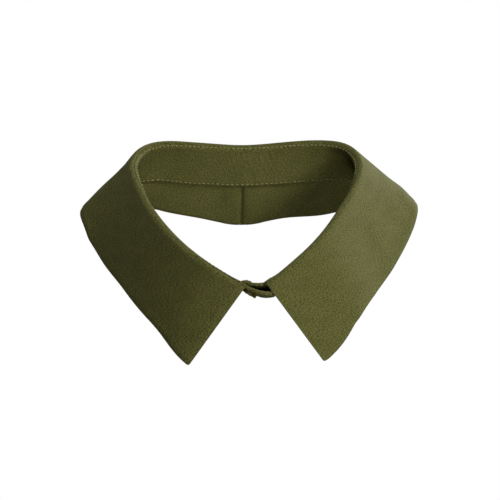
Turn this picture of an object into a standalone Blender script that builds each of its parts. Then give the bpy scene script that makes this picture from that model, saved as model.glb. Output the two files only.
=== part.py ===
"""Detachable shirt collar, buttoned and filled out as on a neck, with nobody in it.

Metres, +Z up, the front towards -Y, and the origin at the centre of the neck opening at the
height of the front fold. The wearer's right is -X and laps over the wearer's left.

One middle surface runs from the band's bottom edge up to the fold, over the roll and down the
fallen collar. It is given by a short table of sections round the neck, and every cloth piece is
a wall laid on one side of that surface.
"""
import math

import bmesh
import bpy
import numpy as np
from mathutils import Vector

for old in list(bpy.data.objects):
    bpy.data.objects.remove(old, do_unlink=True)

MM = 0.001

# Millimetres and degrees.
CLOTH = 1.0          # wall of one cloth piece, its turned-in edges counted
GAP = 0.3            # clear space between two pieces
RISE = 0.4           # straight part of the collar above the top of the band
ROLL = 1.6           # radius of the roll at the middle surface
SEAM_TURN = 55.0     # how far the band's inner piece goes over the roll at the back corners
SEAM_MORE = 25.0     # how much further it goes at centre back
SEAM_BACK = 45.0     # distance from centre back over which that fades out
SEAM_FROM = 82.0     # distance from centre back where the rest begins to fade out
SEAM_TO = 125.0      # distance from centre back where it has faded out
BELLY = 0.2          # outward bow of the fallen collar between fold and edge
TIP_ROUND = 1.0      # rounding of the two points
BAND_ROUND = 9.0     # rounding of the top corners of the band's two ends
UNDER_ROUND = 5.0    # rounding of their bottom corners
STEPS = 3            # stations between two rows of the table
OVER_STEPS = 5       # faces round the roll
DOWN_STEPS = 5       # faces down the collar
BAND_STEPS = 3       # faces up the band
BAND_OVER = 3.0      # strip at the band's top in finer faces
BUTTON_D = 9.5
BUTTON_T = 2.1
BUTTON_SIDES = 36
BUTTON_FROM_END = 12.0
BUTTON_DOWN = 8.6

# Sections from centre back round each side to the end of the band. x, y, z: top of the band.
# lean: of the band, top outwards. height: of the band under its top. flare: of the collar,
# edge outwards. swing: of the collar's edge along the neck, towards centre back on the right
# half and towards centre front on the left. depth: of the collar under the roll.
COLUMNS = ("x", "y", "z", "lean", "height", "flare", "swing", "depth")
WEARERS_RIGHT = {
    "back":         (0.0, 57.5, 22.0, -8, 24.5, 7, 0, 57),
    "back_near":    (-16.5, 58.0, 23.0, -9, 25.0, 8, -4, 54.5),
    "back_far":     (-34.0, 57.5, 25.0, -12, 26.0, 11, -9, 52.5),
    "corner_back":  (-47.5, 55.5, 26.5, -18, 26.0, 20, -13, 51),
    "corner":       (-57.5, 48.5, 27.0, -24, 26.0, 34, -15, 48.5),
    "corner_front": (-62.5, 39.5, 26.0, -22, 26.0, 42, -11, 46.5),
    "side_back":    (-63.5, 30.0, 24.5, -14, 25.5, 38, -4, 46),
    "side":         (-61.0, 18.0, 22.0, -6, 25.0, 31, 4, 48),
    "side_front":   (-55.5, 2.0, 17.5, 2, 24.5, 25, 9, 48.5),
    "front_far":    (-47.0, -15.0, 13.0, 12, 24.0, 20.5, 11, 47),
    "front":        (-35.0, -31.5, 8.0, 26, 23.5, 18.5, 11, 47),
    "front_near":   (-21.0, -44.5, 3.0, 42, 22.5, 17, 11, 49),
    "point":        (-4.0, -54.4, -3.6, 54, 20.5, 18, 10, 53.5),
    "lap":          (2.0, -56.6, -5.4, 51.5, 19.0, 18, 10, 53.5),
    "end":          (10.5, -58.0, -6.2, 54, 18.0, 18, 10, 53.5),
}
WEARERS_LEFT = {
    "back":         (0.0, 57.5, 22.0, -8, 24.5, 7, 0, 57),
    "back_near":    (17.0, 57.5, 22.7, -9, 25.0, 8, 4, 54),
    "back_far":     (33.5, 56.5, 24.3, -12, 26.0, 11, 10, 55),
    "corner_back":  (48.0, 53.5, 25.7, -18, 26.5, 21, 16, 54),
    "corner":       (59.0, 47.0, 26.3, -24, 26.5, 37, 19, 50.5),
    "corner_front": (63.5, 39.5, 25.7, -22, 26.0, 45.5, 15, 47),
    "side_back":    (65.0, 30.5, 24.5, -14, 25.5, 43, 7.5, 48),
    "side":         (63.5, 21.0, 22.0, -8, 25.0, 36.5, 1, 49),
    "side_front":   (58.0, 6.5, 18.5, 0, 24.5, 30, -4.5, 49.5),
    "front_far":    (49.5, -9.5, 14.5, 8, 24.0, 26.5, -8, 50),
    "front":        (40.0, -24.5, 10.5, 18, 23.5, 24.5, -11.5, 49),
    "front_mid":    (29.0, -37.0, 6.0, 27, 23.0, 23, -14.5, 48.5),
    "front_near":   (18.5, -45.5, 1.3, 33, 22.5, 20.5, -18.5, 49.5),
    "point":        (7.1, -51.5, -2.6, 48.5, 20.5, 19, -22.5, 50.5),
    "lap":          (-0.5, -52.1, -2.4, 60, 17.5, 19, -22.5, 50.5),
    "end":          (-7.0, -50.4, -1.5, 63, 16.5, 19, -22.5, 50.5),
}

TABLE = np.array(list(WEARERS_RIGHT.values())[:0:-1] + list(WEARERS_LEFT.values()), float)
PLACES = TABLE[:, :3]
STEP_LENGTHS = np.linalg.norm(np.diff(PLACES, axis=0), axis=1)
ALONG = np.concatenate([[0.0], np.cumsum(STEP_LENGTHS)])
ALONG = ALONG - ALONG[len(WEARERS_RIGHT) - 1]
BAND_FROM, BAND_TO = ALONG[0], ALONG[-1]
LEAF_FROM, LEAF_TO = ALONG[2], ALONG[-3]


def spline_bends(values):
    """Second derivatives at the rows of the natural cubic spline through them."""
    n = len(ALONG)
    h = np.diff(ALONG)
    system = np.eye(n)
    right = np.zeros((n, values.shape[1]))
    for i in range(1, n - 1):
        system[i, i - 1:i + 2] = h[i - 1], 2 * (h[i - 1] + h[i]), h[i]
        slope_in = (values[i] - values[i - 1]) / h[i - 1]
        slope_out = (values[i + 1] - values[i]) / h[i]
        right[i] = 6 * (slope_out - slope_in)
    return np.linalg.solve(system, right)


BENDS = spline_bends(TABLE)
OLIVE = (0.105, 0.108, 0.042, 1.0)
HORN = (0.075, 0.058, 0.016, 1.0)


def row_at(a):
    """All table columns at distances a along the neck, centre back being 0."""
    k = np.clip(np.searchsorted(ALONG, a) - 1, 0, len(ALONG) - 2)
    h = (ALONG[k + 1] - ALONG[k])[..., None]
    before = a[..., None] - ALONG[k][..., None]
    after = h - before
    cubic = (BENDS[k] * (after ** 3 / h - after * h) + BENDS[k + 1] * (before ** 3 / h - before * h)) / 6
    return cubic + (TABLE[k] * after + TABLE[k + 1] * before) / h


def unit(v):
    return v / np.linalg.norm(v, axis=-1, keepdims=True)


def frame_at(a):
    """Place, tangent, outward and upward directions and the other columns at a."""
    row = row_at(a)
    tangent = unit(row_at(a + 0.05)[..., :3] - row_at(a - 0.05)[..., :3])
    outward = unit(np.cross([0.0, 0.0, 1.0], tangent))
    upward = np.cross(tangent, outward)
    return row[..., :3], tangent, outward, upward, row[..., 3:]


def surface(a, w):
    """Middle surface at a along the neck and w up from the band's top, over the roll and down."""
    place, tangent, outward, upward, rest = frame_at(a)
    lean, _, flare, swing, depth = np.moveaxis(rest, -1, 0)
    lean, flare = np.radians(lean), np.radians(flare)
    turn = np.pi - lean - flare
    band_up = np.cos(lean)[..., None] * upward + np.sin(lean)[..., None] * outward
    band_out = np.cos(lean)[..., None] * outward - np.sin(lean)[..., None] * upward
    leaf_down = np.sin(flare)[..., None] * outward - np.cos(flare)[..., None] * upward
    leaf_out = np.cos(flare)[..., None] * outward + np.sin(flare)[..., None] * upward
    straight = np.minimum(w, RISE)
    angle = np.clip((w - RISE) / ROLL, 0.0, turn)
    fall = np.clip(w - RISE - ROLL * turn, 0.0, None)
    share = fall / depth
    bow = BELLY * np.sin(np.pi * np.clip(share, 0.0, 1.0))
    return (place + band_up * (straight + ROLL * np.sin(angle))[..., None]
            + band_out * (ROLL * (1 - np.cos(angle)))[..., None]
            + leaf_down * fall[..., None] + leaf_out * bow[..., None]
            + tangent * (swing * share)[..., None])


def layer(a, w, offset):
    """The middle surface moved outwards by offset; outwards is towards the stand past the roll."""
    e = 0.02
    along = surface(a + e, w) - surface(a - e, w)
    across = surface(a, w + e) - surface(a, w - e)
    return surface(a, w) + unit(np.cross(across, along)) * offset


def leaf_length(a):
    """Length of the collar from the band's top over the roll to its edge, points rounded."""
    row = row_at(a)
    turn = np.pi - np.radians(row[..., 3] + row[..., 5])
    from_end = np.minimum(a - LEAF_FROM, LEAF_TO - a)
    short = np.clip(TIP_ROUND - from_end, 0.0, TIP_ROUND)
    cut = TIP_ROUND - np.sqrt(TIP_ROUND ** 2 - short ** 2)
    return RISE + ROLL * turn + row[..., 7] - cut


def ease(x, low, high):
    """0 below low, 1 above high, and a smooth rise between."""
    t = np.clip((x - low) / (high - low), 0.0, 1.0)
    return t * t * (3 - 2 * t)


def inner_seam(a):
    """How far over the roll the band's inner piece reaches: nothing at the collar's fronts."""
    turn = SEAM_TURN + SEAM_MORE * (1 - ease(np.abs(a), 0.0, SEAM_BACK))
    return (RISE + ROLL * np.radians(turn)) * (1 - ease(np.abs(a), SEAM_FROM, SEAM_TO))


def end_cut(a, radius):
    """How much a corner of this radius takes off the height near the band's two ends."""
    from_end = np.minimum(a - BAND_FROM, BAND_TO - a)
    short = np.clip(radius - from_end, 0.0, radius)
    return radius - np.sqrt(radius ** 2 - short ** 2)


def band_top(a):
    """The band's top edge, rounded down at its two ends."""
    return -end_cut(a, BAND_ROUND)


def band_bottom(a):
    """The band's bottom edge, rounded up at its two ends."""
    return end_cut(a, UNDER_ROUND) - row_at(a)[..., 4]


def stations(start, stop, rounds):
    """Distances along the neck from start to stop, closer together on the ends' roundings."""
    rows = ALONG[(ALONG > start + 0.5) & (ALONG < stop - 0.5)]
    marks = np.concatenate([[start], rows, [stop]])
    parts = [np.linspace(p, q, STEPS, endpoint=False) for p, q in zip(marks[:-1], marks[1:])]
    found = np.concatenate(parts + [[stop]])
    for end, towards, radius in ((start, 1, rounds[0]), (stop, -1, rounds[1])):
        if radius:
            found = found[(np.abs(found - end) > radius * 1.1) | (found == end)]
            turned = np.linspace(0.0, np.pi / 2, 3 + int(radius / 2))[1:]
            turned = end + towards * radius * (1 - np.cos(turned))
            found = np.concatenate([found, turned])
    return np.sort(found)


def leaf_grid(a, begin):
    """a and w of a collar piece: from begin over the roll in even steps, then down to the edge."""
    row = row_at(a)
    fold = RISE + ROLL * (np.pi - np.radians(row[:, 3] + row[:, 5]))
    over = np.linspace(begin, fold, OVER_STEPS + 1)
    down = np.linspace(fold, leaf_length(a), DOWN_STEPS + 1)[1:]
    w = np.concatenate([over, down]).T
    return np.broadcast_to(a[:, None], w.shape), w


def band_grid(a, top, over_steps):
    """a and w of a band piece: shared even steps up its face, then steps of its own to its top."""
    finer = np.minimum(BAND_OVER, (band_top(a) - band_bottom(a)) / 3)
    level = band_top(a) + inner_seam(a) - finer
    face = np.linspace(band_bottom(a), level, BAND_STEPS + 1)
    over = np.linspace(level, top, over_steps + 1)[1:]
    w = np.concatenate([face, over]).T
    return np.broadcast_to(a[:, None], w.shape), w


def add_solid(name, near, far, colour, rough):
    """Close two matching grids of points into one solid and add it with its own material."""
    n, m = near.shape[:2]
    points = np.concatenate([near.reshape(-1, 3), far.reshape(-1, 3)]) * MM
    index = np.arange(n * m).reshape(n, m)
    faces = []
    for i in range(n - 1):
        for j in range(m - 1):
            quad = [index[i, j], index[i, j + 1], index[i + 1, j + 1], index[i + 1, j]]
            faces.append(quad[::-1])
            faces.append([v + n * m for v in quad])
    rim = list(index[:, 0]) + list(index[-1, 1:]) + list(index[-2::-1, -1]) + list(index[0, -2:0:-1])
    for p, q in zip(rim, rim[1:] + rim[:1]):
        faces.append([q, p, p + n * m, q + n * m])
    mesh = bpy.data.meshes.new(name)
    mesh.from_pydata(points.tolist(), [], [[int(v) for v in face] for face in faces])
    return add_object(name, mesh, colour, rough)


def add_object(name, mesh, colour, rough):
    """One object of its own for a mesh, with one material."""
    obj = bpy.data.objects.new(name, mesh)
    bpy.context.collection.objects.link(obj)
    material = bpy.data.materials.new(name)
    material.use_nodes = True
    shader = material.node_tree.nodes["Principled BSDF"]
    shader.inputs["Base Color"].default_value = colour
    shader.inputs["Roughness"].default_value = rough
    mesh.materials.append(material)
    return obj


def add_wall(name, grid, side):
    """A cloth piece on one side of the middle surface: -1 by the neck at the band, 1 away."""
    a, w = grid
    faces_out = side * (GAP / 2 + CLOTH)
    faces_in = side * GAP / 2
    low, high = sorted((faces_in, faces_out))
    return add_solid(name, layer(a, w, low), layer(a, w, high), OLIVE, 0.9)


def add_button():
    """A turned button: its profile spun round Z, then set flat on the band's outer end."""
    radius = BUTTON_D / 2
    # Distance from the axis and height of each corner, from the back's middle to the front's.
    profile = [(0.0, 0.0), (radius - 1.0, 0.0), (radius - 0.3, 0.35), (radius, 1.0),
               (radius - 0.2, 1.65), (radius - 0.8, BUTTON_T), (radius - 1.4, BUTTON_T - 0.15),
               (radius - 2.0, BUTTON_T - 0.6), (0.0, BUTTON_T - 0.6)]
    shape = bmesh.new()
    corners = [shape.verts.new((r * MM, 0.0, h * MM)) for r, h in profile]
    edges = [shape.edges.new(pair) for pair in zip(corners, corners[1:])]
    bmesh.ops.spin(shape, geom=corners + edges, axis=(0, 0, 1), cent=(0, 0, 0), steps=BUTTON_SIDES,
                   angle=2 * math.pi, use_merge=True)
    bmesh.ops.remove_doubles(shape, verts=shape.verts, dist=0.00001)
    bmesh.ops.recalc_face_normals(shape, faces=shape.faces)
    mesh = bpy.data.meshes.new("button")
    shape.to_mesh(mesh)
    shape.free()
    mesh.shade_smooth()
    mesh.set_sharp_from_angle(angle=math.radians(40))
    button = add_object("button", mesh, HORN, 0.35)
    place = np.array(BAND_FROM + BUTTON_FROM_END)
    height = np.array(-BUTTON_DOWN)
    axis = unit(layer(place, height, 1.0) - layer(place, height, 0.0))
    button.location = Vector(layer(place, height, GAP / 2 + CLOTH + GAP) * MM)
    button.rotation_mode = "QUATERNION"
    button.rotation_quaternion = Vector(axis).to_track_quat("Z", "Y")


band_ends = stations(BAND_FROM, BAND_TO, (BAND_ROUND, BAND_ROUND))
whole_leaf = stations(LEAF_FROM, LEAF_TO, (TIP_ROUND, TIP_ROUND))
right_leaf = stations(LEAF_FROM, -GAP / 2, (TIP_ROUND, 0.0))
left_leaf = stations(GAP / 2, LEAF_TO, (0.0, TIP_ROUND))

add_wall("band_inside", band_grid(band_ends, band_top(band_ends) + inner_seam(band_ends), 3), -1)
add_wall("band_outside", band_grid(band_ends, band_top(band_ends), 1), 1)
add_wall("upper_collar", leaf_grid(whole_leaf, inner_seam(whole_leaf) + GAP), -1)
add_wall("under_collar_right", leaf_grid(right_leaf, np.full(len(right_leaf), GAP)), 1)
add_wall("under_collar_left", leaf_grid(left_leaf, np.full(len(left_leaf), GAP)), 1)
add_button()
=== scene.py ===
import math

import bpy
import numpy as np
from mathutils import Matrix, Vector


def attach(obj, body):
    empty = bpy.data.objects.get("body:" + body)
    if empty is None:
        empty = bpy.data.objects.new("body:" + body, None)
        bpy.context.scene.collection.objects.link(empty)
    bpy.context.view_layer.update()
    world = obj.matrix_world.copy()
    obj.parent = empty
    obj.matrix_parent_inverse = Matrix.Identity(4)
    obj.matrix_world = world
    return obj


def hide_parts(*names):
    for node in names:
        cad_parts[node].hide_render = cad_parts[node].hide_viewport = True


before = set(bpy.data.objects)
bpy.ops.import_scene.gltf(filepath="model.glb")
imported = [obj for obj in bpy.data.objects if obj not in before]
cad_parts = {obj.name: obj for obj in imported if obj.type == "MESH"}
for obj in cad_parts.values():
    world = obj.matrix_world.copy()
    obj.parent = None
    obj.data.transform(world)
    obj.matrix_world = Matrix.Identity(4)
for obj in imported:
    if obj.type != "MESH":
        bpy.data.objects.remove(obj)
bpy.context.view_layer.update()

# Fallen collar: an upper and an under layer of cotton twill, sewn together round the points and
# turned, then pressed over the neckband. The under layer is in two halves with a seam at centre
# back. Both lie on one middle surface, given by sections round the neck as on the solids.
MM = 0.001
RISE = 0.4
ROLL = 1.6
BELLY = 0.2
TIP_ROUND = 0.8
# Sections from centre back round each side to the band's end, in millimetres and degrees: top
# of the band, its lean and height, then flare, swing along the neck and depth of the collar.
WEARERS_RIGHT = {
    "back":         (0.0, 57.5, 22.0, -8, 24.5, 7, 0, 56.8),
    "back_near":    (-16.5, 58.0, 23.0, -9, 25.0, 8, -4, 54.0),
    "back_far":     (-34.0, 57.5, 25.0, -12, 26.0, 11, -9, 52.0),
    "corner_back":  (-47.5, 55.5, 26.5, -18, 26.0, 20, -13, 51),
    "corner":       (-57.5, 48.5, 27.0, -24, 26.0, 34, -15, 48.5),
    "corner_front": (-62.5, 39.5, 26.0, -22, 26.0, 42, -11, 46.5),
    "side_back":    (-63.5, 30.0, 24.5, -14, 25.5, 38, -4, 46),
    "side":         (-61.0, 18.0, 22.0, -6, 25.0, 31, 4, 48),
    "side_front":   (-55.5, 2.0, 17.5, 2, 24.5, 25, 9, 48.5),
    "front_far":    (-47.0, -15.0, 13.0, 12, 24.0, 20.5, 11, 47),
    "front":        (-35.0, -31.5, 8.0, 26, 23.5, 18.5, 11, 47),
    "front_near":   (-21.0, -44.5, 3.0, 42, 22.5, 17, 11, 49),
    "point":        (-4.0, -54.4, -3.6, 54, 20.5, 18, 10.8, 53.5),
    "lap":          (2.0, -56.6, -5.4, 51.5, 19.0, 18, 10.8, 53.5),
    "end":          (12.7, -57.9, -6.3, 54, 18.0, 18, 10.8, 53.5),
}
WEARERS_LEFT = {
    "back":         (0.0, 57.5, 22.0, -8, 24.5, 7, 0, 56.8),
    "back_near":    (17.0, 57.5, 22.7, -9, 25.0, 8, 4, 54.4),
    "back_far":     (33.5, 56.5, 24.3, -12, 26.0, 11, 10, 56),
    "corner_back":  (48.0, 53.5, 25.7, -18, 26.5, 21, 16, 54),
    "corner":       (59.0, 47.0, 26.3, -24, 26.5, 37, 19, 50.5),
    "corner_front": (63.5, 39.5, 25.7, -22, 26.0, 45.5, 15, 47),
    "side_back":    (65.0, 30.5, 24.5, -14, 25.5, 43, 7.5, 48),
    "side":         (63.5, 21.0, 22.0, -8, 25.0, 36.5, 1, 49),
    "side_front":   (58.0, 6.5, 18.5, 0, 24.5, 30, -4.5, 49.5),
    "front_far":    (49.5, -9.5, 14.5, 8, 24.0, 26.5, -8, 50),
    "front":        (40.0, -24.5, 10.5, 18, 23.5, 24.5, -11.5, 49),
    "front_mid":    (29.0, -37.0, 6.0, 27, 23.0, 23, -14.5, 48.5),
    "front_near":   (18.5, -45.5, 1.3, 33, 22.5, 20.5, -18.5, 50),
    "point":        (7.1, -51.5, -2.6, 48.5, 20.5, 19, -23.7, 50),
    "lap":          (-0.5, -52.1, -2.4, 60, 17.5, 19, -23.7, 50),
    "end":          (-9.0, -50.2, -1.9, 62, 16.0, 19, -23.7, 50),
}
TABLE = np.array(list(WEARERS_RIGHT.values())[:0:-1] + list(WEARERS_LEFT.values()), float)
ALONG = np.concatenate([[0.0], np.cumsum(np.linalg.norm(np.diff(TABLE[:, :3], axis=0), axis=1))])
ALONG = ALONG - ALONG[len(WEARERS_RIGHT) - 1]
BAND_FROM, BAND_TO = ALONG[0], ALONG[-1]
LEAF_FROM, LEAF_TO = ALONG[2], ALONG[-3]


def spline_bends(values):
    """Second derivatives at the rows of the natural cubic spline through them."""
    n = len(ALONG)
    h = np.diff(ALONG)
    system = np.eye(n)
    right = np.zeros((n, values.shape[1]))
    for i in range(1, n - 1):
        system[i, i - 1:i + 2] = h[i - 1], 2 * (h[i - 1] + h[i]), h[i]
        slope_in = (values[i] - values[i - 1]) / h[i - 1]
        slope_out = (values[i + 1] - values[i]) / h[i]
        right[i] = 6 * (slope_out - slope_in)
    return np.linalg.solve(system, right)


BENDS = spline_bends(TABLE)


def row_at(a):
    """All table columns at distances a along the neck, centre back being 0."""
    k = np.clip(np.searchsorted(ALONG, a) - 1, 0, len(ALONG) - 2)
    h = (ALONG[k + 1] - ALONG[k])[..., None]
    before = a[..., None] - ALONG[k][..., None]
    after = h - before
    cubic = (BENDS[k] * (after ** 3 / h - after * h) + BENDS[k + 1] * (before ** 3 / h - before * h)) / 6
    return cubic + (TABLE[k] * after + TABLE[k + 1] * before) / h


def unit(v):
    return v / np.linalg.norm(v, axis=-1, keepdims=True)


def surface(a, w):
    """Middle surface at a along the neck and w up from the band's top, over the roll and down."""
    row = row_at(a)
    tangent = unit(row_at(a + 0.05)[..., :3] - row_at(a - 0.05)[..., :3])
    outward = unit(np.cross([0.0, 0.0, 1.0], tangent))
    upward = np.cross(tangent, outward)
    lean, _, flare, swing, depth = np.moveaxis(row[..., 3:], -1, 0)
    lean, flare = np.radians(lean), np.radians(flare)
    turn = np.pi - lean - flare
    band_up = np.cos(lean)[..., None] * upward + np.sin(lean)[..., None] * outward
    band_out = np.cos(lean)[..., None] * outward - np.sin(lean)[..., None] * upward
    leaf_down = np.sin(flare)[..., None] * outward - np.cos(flare)[..., None] * upward
    leaf_out = np.cos(flare)[..., None] * outward + np.sin(flare)[..., None] * upward
    straight = np.minimum(w, RISE)
    angle = np.clip((w - RISE) / ROLL, 0.0, turn)
    fall = np.clip(w - RISE - ROLL * turn, 0.0, None)
    share = fall / depth
    bow = BELLY * np.sin(np.pi * np.clip(share, 0.0, 1.0))
    return (row[..., :3] + band_up * (straight + ROLL * np.sin(angle))[..., None]
            + band_out * (ROLL * (1 - np.cos(angle)))[..., None]
            + leaf_down * fall[..., None] + leaf_out * bow[..., None]
            + tangent * (swing * share)[..., None])


def layer(a, w, offset):
    """The middle surface moved away from the neck by offset, which past the roll is inwards."""
    e = 0.02
    along = surface(a + e, w) - surface(a - e, w)
    across = surface(a, w + e) - surface(a, w - e)
    return surface(a, w) + unit(np.cross(across, along)) * np.asarray(offset)[..., None]


def smooth(x, low, high):
    """0 below low, 1 above high, eased between."""
    t = np.clip((x - low) / (high - low), 0.0, 1.0)
    return t * t * (3 - 2 * t)


def fold_at(a):
    """Length from the band's top over the roll to where the collar falls straight."""
    row = row_at(a)
    return RISE + ROLL * (np.pi - np.radians(row[..., 3] + row[..., 5]))


TURNED_EDGE = 0.9


def leaf_length(a):
    """Length of the collar from the band's top over the roll to its edge, points rounded.

    At the sides and fronts the turned edge adds to the depth in the table.
    """
    from_end = np.minimum(a - LEAF_FROM, LEAF_TO - a)
    short = np.clip(TIP_ROUND - from_end, 0.0, TIP_ROUND)
    cut = TIP_ROUND - np.sqrt(TIP_ROUND ** 2 - short ** 2)
    on_left = smooth(a, 58.0, 72.0) * (1 - 0.6 * smooth(a, 120.0, 186.0))
    on_right = smooth(-a, 78.0, 100.0) * (1 - 0.5 * smooth(-a, 165.0, 180.0))
    return fold_at(a) + row_at(a)[..., 7] + TURNED_EDGE * (on_left + on_right) - cut


def inner_seam(a):
    """How far over the roll the band's inner piece reaches; nothing at the collar's fronts."""
    turn = 72.0 + 10.0 * (1 - smooth(np.abs(a), 0.0, 45.0))
    return (RISE + ROLL * np.radians(turn)) * (1 - smooth(np.abs(a), 82.0, 125.0))


# Soft creases of the fallen collar, in millimetres: a and w of both ends, half width, and how
# far each stands in towards the neck, or out where it is negative.
LEAF_CREASES = [
    (-150, 16, -134, 44, 9.0, 0.35), (-118, 10, -108, 40, 8.0, -0.3), (-90, 16, -86, 44, 8.0, 0.3),
    (-67, 14, -67, 20, 7.0, 0.7), (-50, 12, -46, 40, 6.0, 0.45), (-36, 20, -30, 46, 4.5, -0.35),
    (-12, 30, -7, 62, 7.0, -0.6), (13, 24, 21, 50, 6.0, -0.4), (20, 10, 13, 30, 4.0, 0.35),
    (40, 12, 46, 42, 6.0, -0.35), (69, 42, 69, 52, 6.0, -1.0), (88, 14, 84, 42, 8.0, -0.3),
    (112, 12, 122, 40, 8.0, 0.3), (150, 20, 134, 44, 9.0, -0.35), (172, 14, 164, 38, 7.0, 0.3),
    (-176, 14, -170, 36, 7.0, -0.25),
]


def creases(a, w, rows):
    """Sum of soft ridges, each along a line and fading out towards its ends."""
    total = np.zeros(np.broadcast(a, w).shape)
    for a0, w0, a1, w1, width, height in rows:
        run = np.array([a1 - a0, w1 - w0], float)
        length = np.hypot(*run)
        run = run / length
        t = (a - a0) * run[0] + (w - w0) * run[1]
        away = (a - a0) * run[1] - (w - w0) * run[0]
        past = np.clip(np.maximum(-t, t - length), 0.0, None)
        total = total + height * np.exp(-(away / width) ** 2 - (past / (width * 1.4)) ** 2)
    return total


def leaf_wave(a, w):
    """How far the collar's cloth stands in from the middle surface: creases, a slight ripple,
    and the edge of the wearer's right front, which bends in.
    """
    ripple = 0.08 * np.sin(a * 0.21 + 0.6) * np.sin(a * 0.083 + w * 0.11 + 2.0)
    settle = smooth(w, 4.0, 14.0)
    edge = from_leaf_edge(a, w)
    pressed = 0.15 + 0.85 * smooth(edge, 0.0, 14.0)
    curl = 1.2 * (1 - smooth(edge, -12.0, 26.0)) * (1 - smooth(a, -110.0, -70.0))
    return (creases(a, w, LEAF_CREASES) + ripple) * settle * pressed + curl


def from_leaf_edge(a, w):
    """Distance of a point of the collar from its sewn edge, in mm."""
    ends = np.minimum(a - LEAF_FROM, LEAF_TO - a)
    return np.minimum(ends, leaf_length(a) - w)


def spaced(start, stop, step, start_round=0.0, stop_round=0.0):
    """Even distances from start to stop, closer together on a rounding at either end."""
    found = np.linspace(start, stop, max(2, int(round((stop - start) / step)) + 1))
    for end, towards, radius in ((start, 1, start_round), (stop, -1, stop_round)):
        if radius:
            found = found[(np.abs(found - end) > radius * 1.02) | (found == end)]
            turned = np.linspace(0.0, np.pi / 2, 5 + int(radius * 1.5))[1:]
            found = np.concatenate([found, end + towards * radius * (1 - np.cos(turned))])
    return np.sort(found)


def rows_between(low, high, near_low, near_high, middle, share=1.0):
    """For each column, values from low to high: given steps from both ends, even ones between."""
    low, high = low[:, None], high[:, None]
    share = np.broadcast_to(share, low[:, 0].shape)[:, None]
    first = low + np.array(near_low) * share
    last = high - np.array(near_high)[::-1] * share
    between = np.linspace(0.0, 1.0, middle + 2)[1:-1]
    return np.concatenate([first, first[:, -1:] + (last[:, :1] - first[:, -1:]) * between, last], axis=1)


def cloth(name, a, w, offset, towards, thick, material):
    """A sheet over columns a and rows w, its face at offset, solid on the side away from towards."""
    points = layer(a, w, offset) * MM
    n, m = w.shape
    index = np.arange(n * m).reshape(n, m)
    quads = np.stack([index[:-1, :-1], index[:-1, 1:], index[1:, 1:], index[1:, :-1]], -1).reshape(-1, 4)
    if towards < 0:
        quads = quads[:, ::-1]
    mesh = bpy.data.meshes.new(name)
    mesh.from_pydata(points.reshape(-1, 3).tolist(), [], quads.tolist())
    laid = mesh.uv_layers.new(name="laid_flat")
    gone = np.cumsum(np.linalg.norm(np.diff(points, axis=0, prepend=points[:1]), axis=-1), axis=0) / MM
    gone = gone - gone[np.argmin(np.abs(a))]
    flat = np.stack([gone, w], -1).reshape(-1, 2) / 100.0
    corner = np.empty(len(mesh.loops), np.int32)
    mesh.loops.foreach_get("vertex_index", corner)
    laid.data.foreach_set("uv", flat[corner].ravel())
    mesh.materials.append(material)
    piece = bpy.data.objects.new(name, mesh)
    bpy.context.collection.objects.link(piece)
    bpy.ops.object.select_all(action="DESELECT")
    piece.select_set(True)
    bpy.context.view_layer.objects.active = piece
    wall = piece.modifiers.new("wall", "SOLIDIFY")
    wall.thickness = thick * MM
    wall.offset = -1
    edge = piece.modifiers.new("turned_edge", "BEVEL")
    edge.width = 0.3 * MM
    edge.segments = 3
    edge.limit_method = "ANGLE"
    edge.angle_limit = math.radians(55)
    bpy.ops.object.modifier_apply(modifier=wall.name)
    bpy.ops.object.modifier_apply(modifier=edge.name)
    bpy.ops.object.shade_smooth()
    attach(piece, "root")
    return piece


def linear(hex_colour):
    """A colour written as sRGB hex, turned to the linear values that shaders take."""
    parts = [int(hex_colour[i:i + 2], 16) / 255 for i in (0, 2, 4)]
    return [c / 12.92 if c <= 0.04045 else ((c + 0.055) / 1.055) ** 2.4 for c in parts] + [1.0]


def node(tree, kind, settings=None, links=None):
    """Add a node with its settings, and link its inputs, given as node and output name."""
    made = tree.nodes.new(kind)
    for key, value in (settings or {}).items():
        if key in made.inputs:
            made.inputs[key].default_value = value
        else:
            setattr(made, key, value)
    for key, (source, output) in (links or {}).items():
        tree.links.new(source.outputs[output], made.inputs[key])
    return made


# Olive cotton twill, piece-dyed and pressed: matt, with slanting wales, thick and thin yarns that
# break them up, and slightly uneven dye with browner places. Its fuzz catches light at grazing
# angles. Sizes are in millimetres on the cloth laid flat, whose map counts 100 mm as one; there a
# wave texture of scale 31.4 has bands 1 mm apart.
WALE = 0.6
SLUB = 5 / 9
DYE_PATCH = 100 / 11
WALES_TURNED = 35
TWILL_DARK = "2c2d12"
TWILL_LIGHT = "7f7e42"
FUZZ = "a5a47c"


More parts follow.
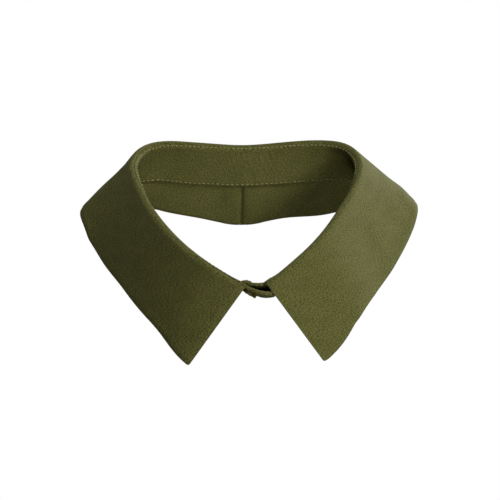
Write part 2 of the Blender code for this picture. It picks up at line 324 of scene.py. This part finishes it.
def twill(name, turned):
    material = bpy.data.materials.new(name)
    material.use_nodes = True
    tree = material.node_tree
    shader = tree.nodes["Principled BSDF"]
    laid = node(tree, "ShaderNodeUVMap", {"uv_map": "laid_flat"})
    grain = node(tree, "ShaderNodeMapping", {"Rotation": (0.0, 0.0, math.radians(turned))},
                 {"Vector": (laid, "UV")})
    wales = node(tree, "ShaderNodeTexWave",
                 {"Scale": 31.4 / WALE, "Distortion": 2.2, "Detail": 2.0, "Detail Scale": 2.0,
                  "bands_direction": "X", "wave_profile": "SIN"}, {"Vector": (grain, "Vector")})
    along = node(tree, "ShaderNodeMapping", {"Scale": (1.0, 0.7, 1.0)}, {"Vector": (grain, "Vector")})
    slubs = node(tree, "ShaderNodeTexNoise", {"Scale": 100 / SLUB, "Detail": 4.0, "Roughness": 0.8},
                 {"Vector": (along, "Vector")})
    dye = node(tree, "ShaderNodeTexNoise", {"Scale": 100 / DYE_PATCH, "Detail": 3.0},
               {"Vector": (laid, "UV")})
    woven = node(tree, "ShaderNodeMix", {"data_type": "FLOAT", "Factor": 0.9},
                 {"A": (wales, "Fac"), "B": (slubs, "Fac")})
    colour = node(tree, "ShaderNodeValToRGB", {}, {"Fac": (woven, "Result")})
    colour.color_ramp.elements[0].position = 0.42
    colour.color_ramp.elements[0].color = linear(TWILL_DARK)
    colour.color_ramp.elements[1].position = 0.59
    colour.color_ramp.elements[1].color = linear(TWILL_LIGHT)
    uneven = node(tree, "ShaderNodeValToRGB", {}, {"Fac": (dye, "Fac")})
    uneven.color_ramp.elements[0].position = 0.3
    uneven.color_ramp.elements[0].color = (0.82, 0.84, 0.8, 1.0)
    uneven.color_ramp.elements[1].position = 0.7
    uneven.color_ramp.elements[1].color = (1.0, 0.97, 0.96, 1.0)
    dyed = node(tree, "ShaderNodeMix", {"data_type": "RGBA", "blend_type": "MULTIPLY"})
    dyed.inputs[0].default_value = 1.0
    tree.links.new(colour.outputs["Color"], dyed.inputs[6])
    tree.links.new(uneven.outputs["Color"], dyed.inputs[7])
    bump = node(tree, "ShaderNodeBump", {"Strength": 0.3, "Distance": 0.00025},
                {"Height": (woven, "Result")})
    tree.links.new(dyed.outputs[2], shader.inputs["Base Color"])
    tree.links.new(bump.outputs["Normal"], shader.inputs["Normal"])
    shader.inputs["Roughness"].default_value = 0.85
    shader.inputs["Specular IOR Level"].default_value = 0.2
    shader.inputs["Sheen Weight"].default_value = 0.1
    shader.inputs["Sheen Roughness"].default_value = 0.4
    shader.inputs["Sheen Tint"].default_value = linear(FUZZ)
    return material


twill_collar = twill("cotton_twill_woven_collar", WALES_TURNED)
# Where the faces of the two layers lie from the middle surface, the walls of their cloth, and the
# half width of the open groove at the centre back seam, all in millimetres.
UPPER_OUT = 1.0
UPPER_WALL = 0.5
UNDER_OUT = 0.95
UNDER_WALL = 0.45
UNDER_SHORT = 0.35
HALF_GROOVE = 0.6
NEAR_EDGE = (0.0, 0.4, 0.8, 1.3, 1.9, 2.6, 3.6, 4.8, 6.2)

a = spaced(LEAF_FROM, LEAF_TO, 1.3, TIP_ROUND, TIP_ROUND)
start = inner_seam(a) + 0.15
w = rows_between(start, leaf_length(a), (0.0, 0.3, 0.6, 0.95, 1.35, 1.8, 2.4, 3.1, 3.9, 4.8, 5.8, 7.0),
                 NEAR_EDGE, 30)
a = a[:, None]
edge = from_leaf_edge(a, w)
out = UPPER_OUT - 0.3 * (1 - smooth(w - inner_seam(a), 0.0, 1.6)) - 0.45 * (1 - smooth(edge, 0.0, 3.0))
out = out + 0.12 * smooth(edge, 0.5, 1.5) * (1 - smooth(edge, 5.0, 6.5))
upper = cloth("upper_collar_cloth", a, w, leaf_wave(a, w) - out, -1, UPPER_WALL, twill_collar)
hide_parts("upper_collar")

for name, begin, stop, rounds in (("right", LEAF_FROM, -HALF_GROOVE, (TIP_ROUND, 0.0)),
                                  ("left", HALF_GROOVE, LEAF_TO, (0.0, TIP_ROUND))):
    a = spaced(begin, stop, 1.3, *rounds)
    w = rows_between(np.full(len(a), 0.3), leaf_length(a) - UNDER_SHORT, (0.0, 0.5, 1.1, 1.8, 2.6, 3.6, 4.8),
                     NEAR_EDGE, 26)
    a = a[:, None]
    edge = from_leaf_edge(a, w) - UNDER_SHORT
    seam = np.abs(a) - HALF_GROOVE
    out = UNDER_OUT - 0.6 * (1 - smooth(edge, 0.0, 2.2)) - 0.25 * (1 - smooth(seam, 0.0, 0.7))
    out = out + 0.35 * smooth(seam, 0.5, 1.8) * (1 - smooth(seam, 6.0, 9.0))
    under = cloth("under_collar_%s_cloth" % name, a, w, leaf_wave(a, w) + out, 1, UNDER_WALL,
                  twill_collar)
    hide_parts("under_collar_%s" % name)

# Neckband: an inner and an outer piece of the same twill with their edges turned in, the
# fallen collar held between their top edges. Its two ends lap at the front, the wearer's right
# one outside, and have rounded corners.
BAND_ROUND = 9.0
UNDER_ROUND = 5.0
# Where the faces of the two pieces lie from the middle surface, and the wall of their cloth.
BAND_OUT = 1.15
BAND_WALL = 0.85


def end_cut(a, radius):
    """How much a corner of this radius takes off the height near the band's two ends."""
    from_end = np.minimum(a - BAND_FROM, BAND_TO - a)
    short = np.clip(radius - from_end, 0.0, radius)
    return radius - np.sqrt(radius ** 2 - short ** 2)


def band_top(a):
    """The band's top edge, rounded down at its two ends."""
    return -end_cut(a, BAND_ROUND)


def band_bottom(a):
    """The band's bottom edge, rounded up at its two ends."""
    return end_cut(a, UNDER_ROUND) - row_at(a)[..., 4]


def lapped(a):
    """0 along the band and 1 on its two free ends, past the fronts of the fallen collar."""
    return 1 - smooth(np.minimum(a - LEAF_FROM, LEAF_TO - a), -1.0, 7.0)


def stitch_in(a):
    """Distance of the stitching from the edge: closer on the two free ends."""
    return 1.05 - 0.35 * lapped(a)


def buttoned(a, w):
    """How far the button draws the wearer's left end towards the right one, in mm."""
    drawn = 1.0 * smooth(a, 182.0, 190.0)
    kick = 1.7 * smooth(a, 166.0, 176.0) * (1 - smooth(a, 182.0, 189.0)) * smooth(-w, 5.0, 18.0)
    touch = 0.9 * smooth(a, 183.0, 189.0) * smooth(-w, 2.0, 6.0) * (1 - smooth(-w, 12.0, 16.0))
    return drawn + kick + touch


# Distance from one stitch to the next.
STITCH = 2.6


def pucker(a, depth):
    """Slight drawing-up of the cloth along a row of stitches, depth being the distance from it."""
    drawn = np.sin(a * 0.83 + 0.4 * np.sin(a * 0.31)) * (0.6 + 0.4 * np.sin(a * 0.117 + 1.0))
    fine = 0.35 * np.sin(a * 2 * np.pi / STITCH)
    return (0.09 * drawn * np.exp(-(depth / 3.2) ** 2) + 0.07 * fine * np.exp(-(depth / 1.1) ** 2)
            - 0.2 * np.exp(-(depth / 0.5) ** 2))


BAND_CREASES = [
    (-40, -3, -46, -20, 4.0, 0.3), (-62, -4, -60, -22, 4.5, -0.35), (-20, -6, -24, -22, 6.0, -0.25),
    (12, -4, 16, -20, 6.0, 0.25), (44, -3, 40, -22, 4.5, -0.3), (66, -4, 70, -20, 4.0, 0.35),
    (100, -5, 108, -20, 6.0, 0.25), (-104, -5, -96, -20, 6.0, -0.25), (140, -3, 150, -18, 7.0, -0.3),
    (-140, -3, -150, -18, 7.0, 0.25),
]
twill_band = twill("cotton_twill_woven_band", WALES_TURNED)
STITCHED_EDGE = (0.0, 0.3, 0.6, 0.9, 1.15, 1.4, 1.7, 2.1, 2.7, 3.5, 4.5)

a = spaced(BAND_FROM, BAND_TO, 0.65, BAND_ROUND, BAND_ROUND)
for name, towards, top in (("band_inside", -1, inner_seam(a)), ("band_outside", 1, 0.0 * a)):
    share = np.clip((band_top(a) - band_bottom(a)) / 14.0, 0.0, 1.0)
    w = rows_between(band_bottom(a), band_top(a) + top, STITCHED_EDGE, STITCHED_EDGE, 10, share)
    from_edge = np.minimum(w - band_bottom(a)[:, None], (band_top(a) + top)[:, None] - w)
    ends = np.minimum(a - BAND_FROM, BAND_TO - a)[:, None]
    from_edge = np.minimum(from_edge, ends)
    lap = lapped(a)[:, None]
    out = BAND_OUT - (0.15 + 0.2 * (a[:, None] > 0)) * lap
    out = out - (0.25 + 0.3 * lap) * (1 - smooth(from_edge, 0.0, 0.9 + 0.8 * lap))
    out = out + pucker(a[:, None], from_edge - stitch_in(a)[:, None]) * (1 - 0.6 * lap)
    wave = creases(a[:, None], w, BAND_CREASES) * smooth(from_edge, 1.0, 6.0) * smooth(ends, 20.0, 40.0)
    # Fine ripples across the band, from pressing over the stitched edges.
    fine = np.sin(1.8 * a[:, None] + 0.5 * w + 1.5 * np.sin(0.13 * a[:, None]))
    wave = wave + 0.09 * fine * (0.4 + 0.6 * np.sin(0.09 * a[:, None] + 1.0)) * smooth(from_edge, 1.0, 4.0)
    wave = wave + buttoned(a[:, None], w)
    piece = cloth(name + "_cloth", a[:, None], w, wave + towards * out, towards, BAND_WALL,
                  twill_band)
    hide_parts(name)

# Topstitching: one row of sewing thread all round the neckband near its edges, a shade lighter
# than the cloth, each stitch sunk at both ends.
HALF_STITCH = 0.72
THREAD = 0.25
ARCH = 0.16


def thread_material(name, colour):
    material = bpy.data.materials.new(name)
    material.use_nodes = True
    tree = material.node_tree
    shader = tree.nodes["Principled BSDF"]
    place = node(tree, "ShaderNodeTexCoord")
    twist = node(tree, "ShaderNodeTexNoise", {"Scale": 2500.0, "Detail": 1.0}, {"Vector": (place, "Object")})
    shade = node(tree, "ShaderNodeMix", {"data_type": "RGBA"}, {"Factor": (twist, "Fac")})
    shade.inputs["A"].default_value = [0.75 * c for c in linear(colour)[:3]] + [1.0]
    shade.inputs["B"].default_value = [1.2 * c for c in linear(colour)[:3]] + [1.0]
    tree.links.new(shade.outputs["Result"], shader.inputs["Base Color"])
    shader.inputs["Roughness"].default_value = 0.55
    shader.inputs["Sheen Weight"].default_value = 0.1
    return material


thread = thread_material("polyester_thread_spun", "98955a")


def threads(name, middles, runs, lifts, radius, material):
    """Stitches as short bent threads: middle, half length as a vector, lift of the middle, radius."""
    around = np.linspace(0.0, 2 * np.pi, 6, endpoint=False)
    t = np.array([-1.0, -0.8, -0.35, 0.35, 0.8, 1.0])
    rise = 1 - np.abs(t) ** 3 * 1.6
    girth = np.array([0.35, 0.85, 1.0, 1.0, 0.85, 0.35]) * np.broadcast_to(radius, len(middles))[:, None]
    side = unit(np.cross(lifts, runs))
    up = unit(lifts)
    spine = middles[:, None] + runs[:, None] * t[:, None] + lifts[:, None] * rise[:, None]
    ring = (side[:, None, None] * np.cos(around)[:, None] + up[:, None, None] * np.sin(around)[:, None])
    points = spine[:, :, None] + ring * girth[:, :, None, None]
    count, rings, sides = points.shape[:3]
    index = np.arange(count * rings * sides).reshape(count, rings, sides)
    beside = np.roll(index, -1, axis=2)
    walls = np.stack([index[:, :-1], beside[:, :-1], beside[:, 1:], index[:, 1:]], -1).reshape(-1, 4)
    faces = walls.tolist() + index[:, 0, ::-1].tolist() + index[:, -1].tolist()
    mesh = bpy.data.meshes.new(name)
    mesh.from_pydata((points.reshape(-1, 3) * MM).tolist(), [], faces)
    mesh.materials.append(material)
    piece = bpy.data.objects.new(name, mesh)
    bpy.context.collection.objects.link(piece)
    bpy.ops.object.select_all(action="DESELECT")
    piece.select_set(True)
    bpy.context.view_layer.objects.active = piece
    bpy.ops.object.mode_set(mode="EDIT")
    bpy.ops.mesh.select_all(action="SELECT")
    bpy.ops.mesh.normals_make_consistent(inside=False)
    bpy.ops.object.mode_set(mode="OBJECT")
    bpy.ops.object.shade_smooth()
    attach(piece, "root")
    return piece


def stitch_line(reach):
    """The stitched line as a and w, all round the band; reach is how far over the roll it goes."""
    turned = np.linspace(0.0, np.pi / 2, 24)[1:]
    top_a = np.linspace(BAND_FROM + BAND_ROUND, BAND_TO - BAND_ROUND, 900)
    low_a = np.linspace(BAND_TO - UNDER_ROUND, BAND_FROM + UNDER_ROUND, 900)
    turn_a = BAND_TO - BAND_ROUND + (BAND_ROUND - stitch_in(BAND_TO)) * np.sin(turned)
    turn_w = -BAND_ROUND + (BAND_ROUND - stitch_in(BAND_TO)) * np.cos(turned)
    under_a = BAND_TO - UNDER_ROUND + (UNDER_ROUND - stitch_in(BAND_TO)) * np.cos(turned)
    line_a = [top_a, turn_a, under_a, low_a, BAND_FROM + BAND_TO - under_a[::-1],
              BAND_FROM + BAND_TO - turn_a[::-1], top_a[:1]]
    under_w = (UNDER_ROUND - stitch_in(BAND_TO)) * np.sin(turned)
    line_w = [reach * inner_seam(top_a) - stitch_in(top_a), turn_w,
              UNDER_ROUND - row_at(under_a)[:, 4] - under_w, stitch_in(low_a) - row_at(low_a)[:, 4],
              (UNDER_ROUND - row_at(BAND_FROM + BAND_TO - under_a)[:, 4] - under_w)[::-1], turn_w[::-1]]
    line_w.append(line_w[0][:1])
    return np.concatenate(line_a), np.concatenate(line_w)


for name, towards, reach in (("topstitching_inside", -1, 1), ("topstitching_outside", 1, 0)):
    line_a, line_w = stitch_line(reach)
    gone = np.concatenate([[0.0], np.cumsum(np.hypot(np.diff(line_a), np.diff(line_w)))])
    count = int(gone[-1] / STITCH)
    middle = (np.arange(count) + 0.5) * gone[-1] / count
    ends = [np.interp(middle + s, gone, line_a) for s in (-HALF_STITCH, 0.0, HALF_STITCH)]
    heights = [np.interp(middle + s, gone, line_w) for s in (-HALF_STITCH, 0.0, HALF_STITCH)]
    face = towards * (1.05 - 0.3 * lapped(ends[1])) + buttoned(ends[1], heights[1])
    before, at, after = [layer(p, q, face) for p, q in zip(ends, heights)]
    normal = layer(ends[1], heights[1], face + towards) - at
    # Towards the fronts the row is drawn deeper into the fold, so less of the thread stands out.
    slight = 1 - 0.5 * smooth(np.abs(ends[1]), 85.0, 115.0)
    threads(name, at, (after - before) / 2, normal * ARCH * slight[:, None],
            THREAD * slight, thread)

# Buttonhole: a slit along the wearer's right end of the band, from the button towards centre
# back, its two lips and both ends worked over with close stitches. BUTTON_AT is from the end.
BUTTON_AT = 15.2
BUTTON_DOWN = 9.0
HOLE_LONG = 11.0
HOLE_FROM = BAND_FROM + BUTTON_AT - 1.5
WORKED = 0.55
WORKED_THREAD = 0.24
SLIT_HALF = 0.24
thread_dark = thread_material("polyester_thread_buttonhole", "6b6a45")

end_turn = np.linspace(-np.pi / 2, np.pi / 2, 8)[1:-1]
lip = np.arange(0.0, HOLE_LONG, 0.42)
along_hole = np.concatenate([lip, HOLE_LONG + 0.7 * np.cos(end_turn), lip[::-1], -0.7 * np.cos(end_turn)])
across_hole = np.concatenate([0.0 * lip + 0.75, 0.7 * np.sin(end_turn)[::-1], 0.0 * lip - 0.75,
                              0.7 * np.sin(end_turn)])
reach_hole = np.stack([np.zeros(len(along_hole)), np.sign(across_hole)], -1)
for k, angle in enumerate(end_turn):
    reach_hole[len(lip) + k] = [math.cos(angle), math.sin(end_turn[::-1][k])]
    reach_hole[2 * len(lip) + len(end_turn) + k] = [-math.cos(angle), math.sin(angle)]
hole_a = HOLE_FROM + along_hole
hole_w = -BUTTON_DOWN + across_hole
face = np.full(len(hole_a), 1.0)
at = layer(hole_a, hole_w, face)
run = layer(hole_a + WORKED * reach_hole[:, 0], hole_w + WORKED * reach_hole[:, 1], face) - at
lift = layer(hole_a, hole_w, face + 0.3) - at
threads("buttonhole_stitches", at, run, lift, WORKED_THREAD, thread_dark)

# The slit is not cut through: a thin near-black strip on the band's face is painted shade, standing for the
# dark gap between its lips.
slit_painted_shade = thread_material("painted_shade_of_buttonhole_slit", "2b2a18")
slit_a = HOLE_FROM + np.linspace(0.0, HOLE_LONG, 12)
slit = [layer(slit_a, np.full(12, -BUTTON_DOWN + s), np.full(12, 1.02 + up))
        for s, up in ((-SLIT_HALF, 0.0), (-SLIT_HALF, 0.06), (SLIT_HALF, 0.06), (SLIT_HALF, 0.0))]
index = np.arange(48).reshape(4, 12)
quads = [[index[i, k], index[i, k + 1], index[(i + 1) % 4, k + 1], index[(i + 1) % 4, k]]
         for i in range(4) for k in range(11)]
mesh = bpy.data.meshes.new("buttonhole_slit")
mesh.from_pydata((np.concatenate(slit) * MM).tolist(), [],
                 [[int(v) for v in q] for q in quads + [index[::-1, 0], index[:, 11]]])
mesh.materials.append(slit_painted_shade)
slit_piece = bpy.data.objects.new("buttonhole_slit", mesh)
bpy.context.collection.objects.link(slit_piece)
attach(slit_piece, "root")

# Button: a four-hole shirt button of horn-coloured polyester, turned with a raised rim and
# polished. It is sewn to the wearer's left end of the band and comes out of the buttonhole.
BUTTON_D = 9.5
BUTTON_T = 2.1
HOLE_D = 1.5
HOLE_OUT = 1.35
RIM = 1.1


def horn_material():
    """Cast polyester: amber brown with slow darker veins, glossy where polished."""
    material = bpy.data.materials.new("polyester_button_turned")
    material.use_nodes = True
    tree = material.node_tree
    shader = tree.nodes["Principled BSDF"]
    place = node(tree, "ShaderNodeTexCoord")
    veins = node(tree, "ShaderNodeTexNoise", {"Scale": 260.0, "Detail": 3.0, "Distortion": 1.5},
                 {"Vector": (place, "Object")})
    colour = node(tree, "ShaderNodeValToRGB", {}, {"Fac": (veins, "Fac")})
    colour.color_ramp.elements[0].position = 0.35
    colour.color_ramp.elements[0].color = linear("3a3512")
    colour.color_ramp.elements[1].position = 0.7
    colour.color_ramp.elements[1].color = linear("6a6128")
    tree.links.new(colour.outputs["Color"], shader.inputs["Base Color"])
    shader.inputs["Roughness"].default_value = 0.45
    shader.inputs["Specular IOR Level"].default_value = 0.25
    shader.inputs["Coat Weight"].default_value = 0.05
    shader.inputs["Coat Roughness"].default_value = 0.12
    return material


bpy.ops.object.select_all(action="DESELECT")
bpy.ops.mesh.primitive_cylinder_add(vertices=64, radius=BUTTON_D / 2 * MM, depth=BUTTON_T * MM,
                                    location=(0.0, 0.0, BUTTON_T / 2 * MM))
button = bpy.context.object
button.name = "button_turned"
bpy.ops.object.transform_apply(location=True, rotation=False, scale=False)
for top in (True, False):
    bpy.ops.object.mode_set(mode="EDIT")
    bpy.ops.mesh.select_mode(type="FACE")
    bpy.ops.mesh.select_all(action="DESELECT")
    bpy.ops.object.mode_set(mode="OBJECT")
    for face in button.data.polygons:
        face.select = face.normal.z > 0.9 if top else face.normal.z < -0.9
    bpy.ops.object.mode_set(mode="EDIT")
    if top:
        bpy.ops.mesh.inset(thickness=RIM * MM, depth=0.0)
        bpy.ops.mesh.inset(thickness=0.6 * MM, depth=-0.6 * MM)
        bpy.ops.mesh.inset(thickness=0.6 * MM, depth=-0.05 * MM)
    else:
        bpy.ops.mesh.inset(thickness=0.9 * MM, depth=0.25 * MM)
    bpy.ops.object.mode_set(mode="OBJECT")

bpy.ops.object.select_all(action="DESELECT")
for x, y in ((1, 1), (-1, 1), (-1, -1), (1, -1)):
    bpy.ops.mesh.primitive_cylinder_add(vertices=24, radius=HOLE_D / 2 * MM, depth=3 * BUTTON_T * MM,
                                        location=(x * HOLE_OUT * MM, y * HOLE_OUT * MM, 0.0))
    drill = bpy.context.object
    cut = button.modifiers.new("hole", "BOOLEAN")
    cut.operation = "DIFFERENCE"
    cut.solver = "EXACT"
    cut.object = drill
    bpy.context.view_layer.objects.active = button
    bpy.ops.object.modifier_apply(modifier=cut.name)
    bpy.data.objects.remove(drill, do_unlink=True)
bpy.ops.object.select_all(action="DESELECT")
button.select_set(True)
bpy.context.view_layer.objects.active = button
soft = button.modifiers.new("turned", "BEVEL")
soft.width = 0.16 * MM
soft.segments = 3
soft.limit_method = "ANGLE"
soft.angle_limit = math.radians(25)
bpy.ops.object.modifier_apply(modifier=soft.name)
bpy.ops.object.shade_smooth_by_angle(angle=math.radians(35))
button.data.materials.clear()
button.data.materials.append(horn_material())

button_a = np.array(BAND_FROM + BUTTON_AT)
button_w = np.array(-BUTTON_DOWN)
axis = unit(layer(button_a, button_w, 1.0) - layer(button_a, button_w, 0.0))
seat = layer(button_a, button_w, 1.0)
turned = Vector(axis).to_track_quat("Z", "Y")
button.rotation_mode = "QUATERNION"
button.rotation_quaternion = turned
button.location = Vector(seat * MM)
bpy.ops.object.transform_apply(location=True, rotation=True, scale=False)
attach(button, "root")
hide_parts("button")

# Button thread: two bars of doubled thread over the holes.
spin = np.array(turned.to_matrix())
bars = np.array([(side, 0.0, BUTTON_T - 0.35) for side in (HOLE_OUT - 0.22, HOLE_OUT + 0.22,
                                                           -HOLE_OUT - 0.22, -HOLE_OUT + 0.22)])
at = seat + bars @ spin.T
run = np.tile([0.0, HOLE_OUT + 0.35, 0.0], (4, 1)) @ spin.T
lift = np.tile([0.0, 0.0, 0.45], (4, 1)) @ spin.T
threads("button_thread", at, run, lift, 0.21, thread_dark)

# Studio: a white floor far below that only the camera sees, a soft key light from the front
# right, two lights behind for the edges and two weak ones in front.
bpy.ops.object.select_all(action="DESELECT")
bpy.ops.mesh.primitive_plane_add(size=40, location=(0, 0, -1.5))
floor = bpy.context.object
floor.name = "floor"
white = bpy.data.materials.new("white_floor")
white.use_nodes = True
white.node_tree.nodes.clear()
glow = white.node_tree.nodes.new("ShaderNodeEmission")
end = white.node_tree.nodes.new("ShaderNodeOutputMaterial")
white.node_tree.links.new(glow.outputs[0], end.inputs[0])
floor.data.materials.append(white)
floor.visible_diffuse = False
floor.visible_glossy = False
floor.visible_shadow = False


def soft_light(name, place, power, size=0.5):
    """A round area light of this size in metres and power in watts, facing the collar."""
    light = bpy.data.lights.new(name, "AREA")
    light.shape = "DISK"
    light.size = size
    light.energy = power
    lamp = bpy.data.objects.new(name, light)
    bpy.context.collection.objects.link(lamp)
    lamp.location = place
    lamp.rotation_mode = "QUATERNION"
    lamp.rotation_quaternion = (-Vector(place)).to_track_quat("-Z", "Y")


def from_side(turned, raised, far=1.4):
    """A place at a bearing from the camera's side of the collar and a height angle, in degrees."""
    turned, raised = math.radians(turned), math.radians(raised)
    return (far * math.sin(turned) * math.cos(raised), -far * math.cos(turned) * math.cos(raised),
            far * math.sin(raised))


soft_light("key", from_side(turned=48, raised=37), power=13.5)
soft_light("edge_right", from_side(turned=130, raised=8), power=20.0)
soft_light("edge_left", from_side(turned=-135, raised=40), power=8.0)
soft_light("fill", from_side(turned=12, raised=12), power=3.4)
soft_light("bounce", from_side(turned=0, raised=-30), power=5.0)

world = bpy.data.worlds.new("studio")
bpy.context.scene.world = world
world.use_nodes = True
tree = world.node_tree
tree.nodes.clear()
path = tree.nodes.new("ShaderNodeLightPath")
seen = node(tree, "ShaderNodeBackground", {"Strength": 1.0})
around = node(tree, "ShaderNodeBackground", {"Strength": 0.01})
for shade in (seen, around):
    shade.inputs["Color"].default_value = (1, 1, 1, 1)
mixed = tree.nodes.new("ShaderNodeMixShader")
tree.links.new(path.outputs["Is Camera Ray"], mixed.inputs[0])
tree.links.new(around.outputs[0], mixed.inputs[1])
tree.links.new(seen.outputs[0], mixed.inputs[2])
tree.links.new(mixed.outputs[0], tree.nodes.new("ShaderNodeOutputWorld").inputs[0])

# Camera: a long lens from the front, slightly to the right of the collar, looking down on it.
CAMERA_FAR = 0.95
LENS = 117.93
aim = Vector((0.00177, 0.010, -0.01814))
turned, raised = math.radians(-2.895), math.radians(30)
back = Vector((math.sin(turned) * math.cos(raised), -math.cos(turned) * math.cos(raised), math.sin(raised)))
eye = bpy.data.cameras.new("camera")
eye.lens = LENS
eye.clip_start = 0.01
camera = bpy.data.objects.new("camera", eye)
bpy.context.collection.objects.link(camera)
camera.location = aim + back * CAMERA_FAR
camera.rotation_mode = "QUATERNION"
camera.rotation_quaternion = (-back).to_track_quat("-Z", "Y")
bpy.context.scene.camera = camera
bpy.context.scene.view_settings.view_transform = "Standard"
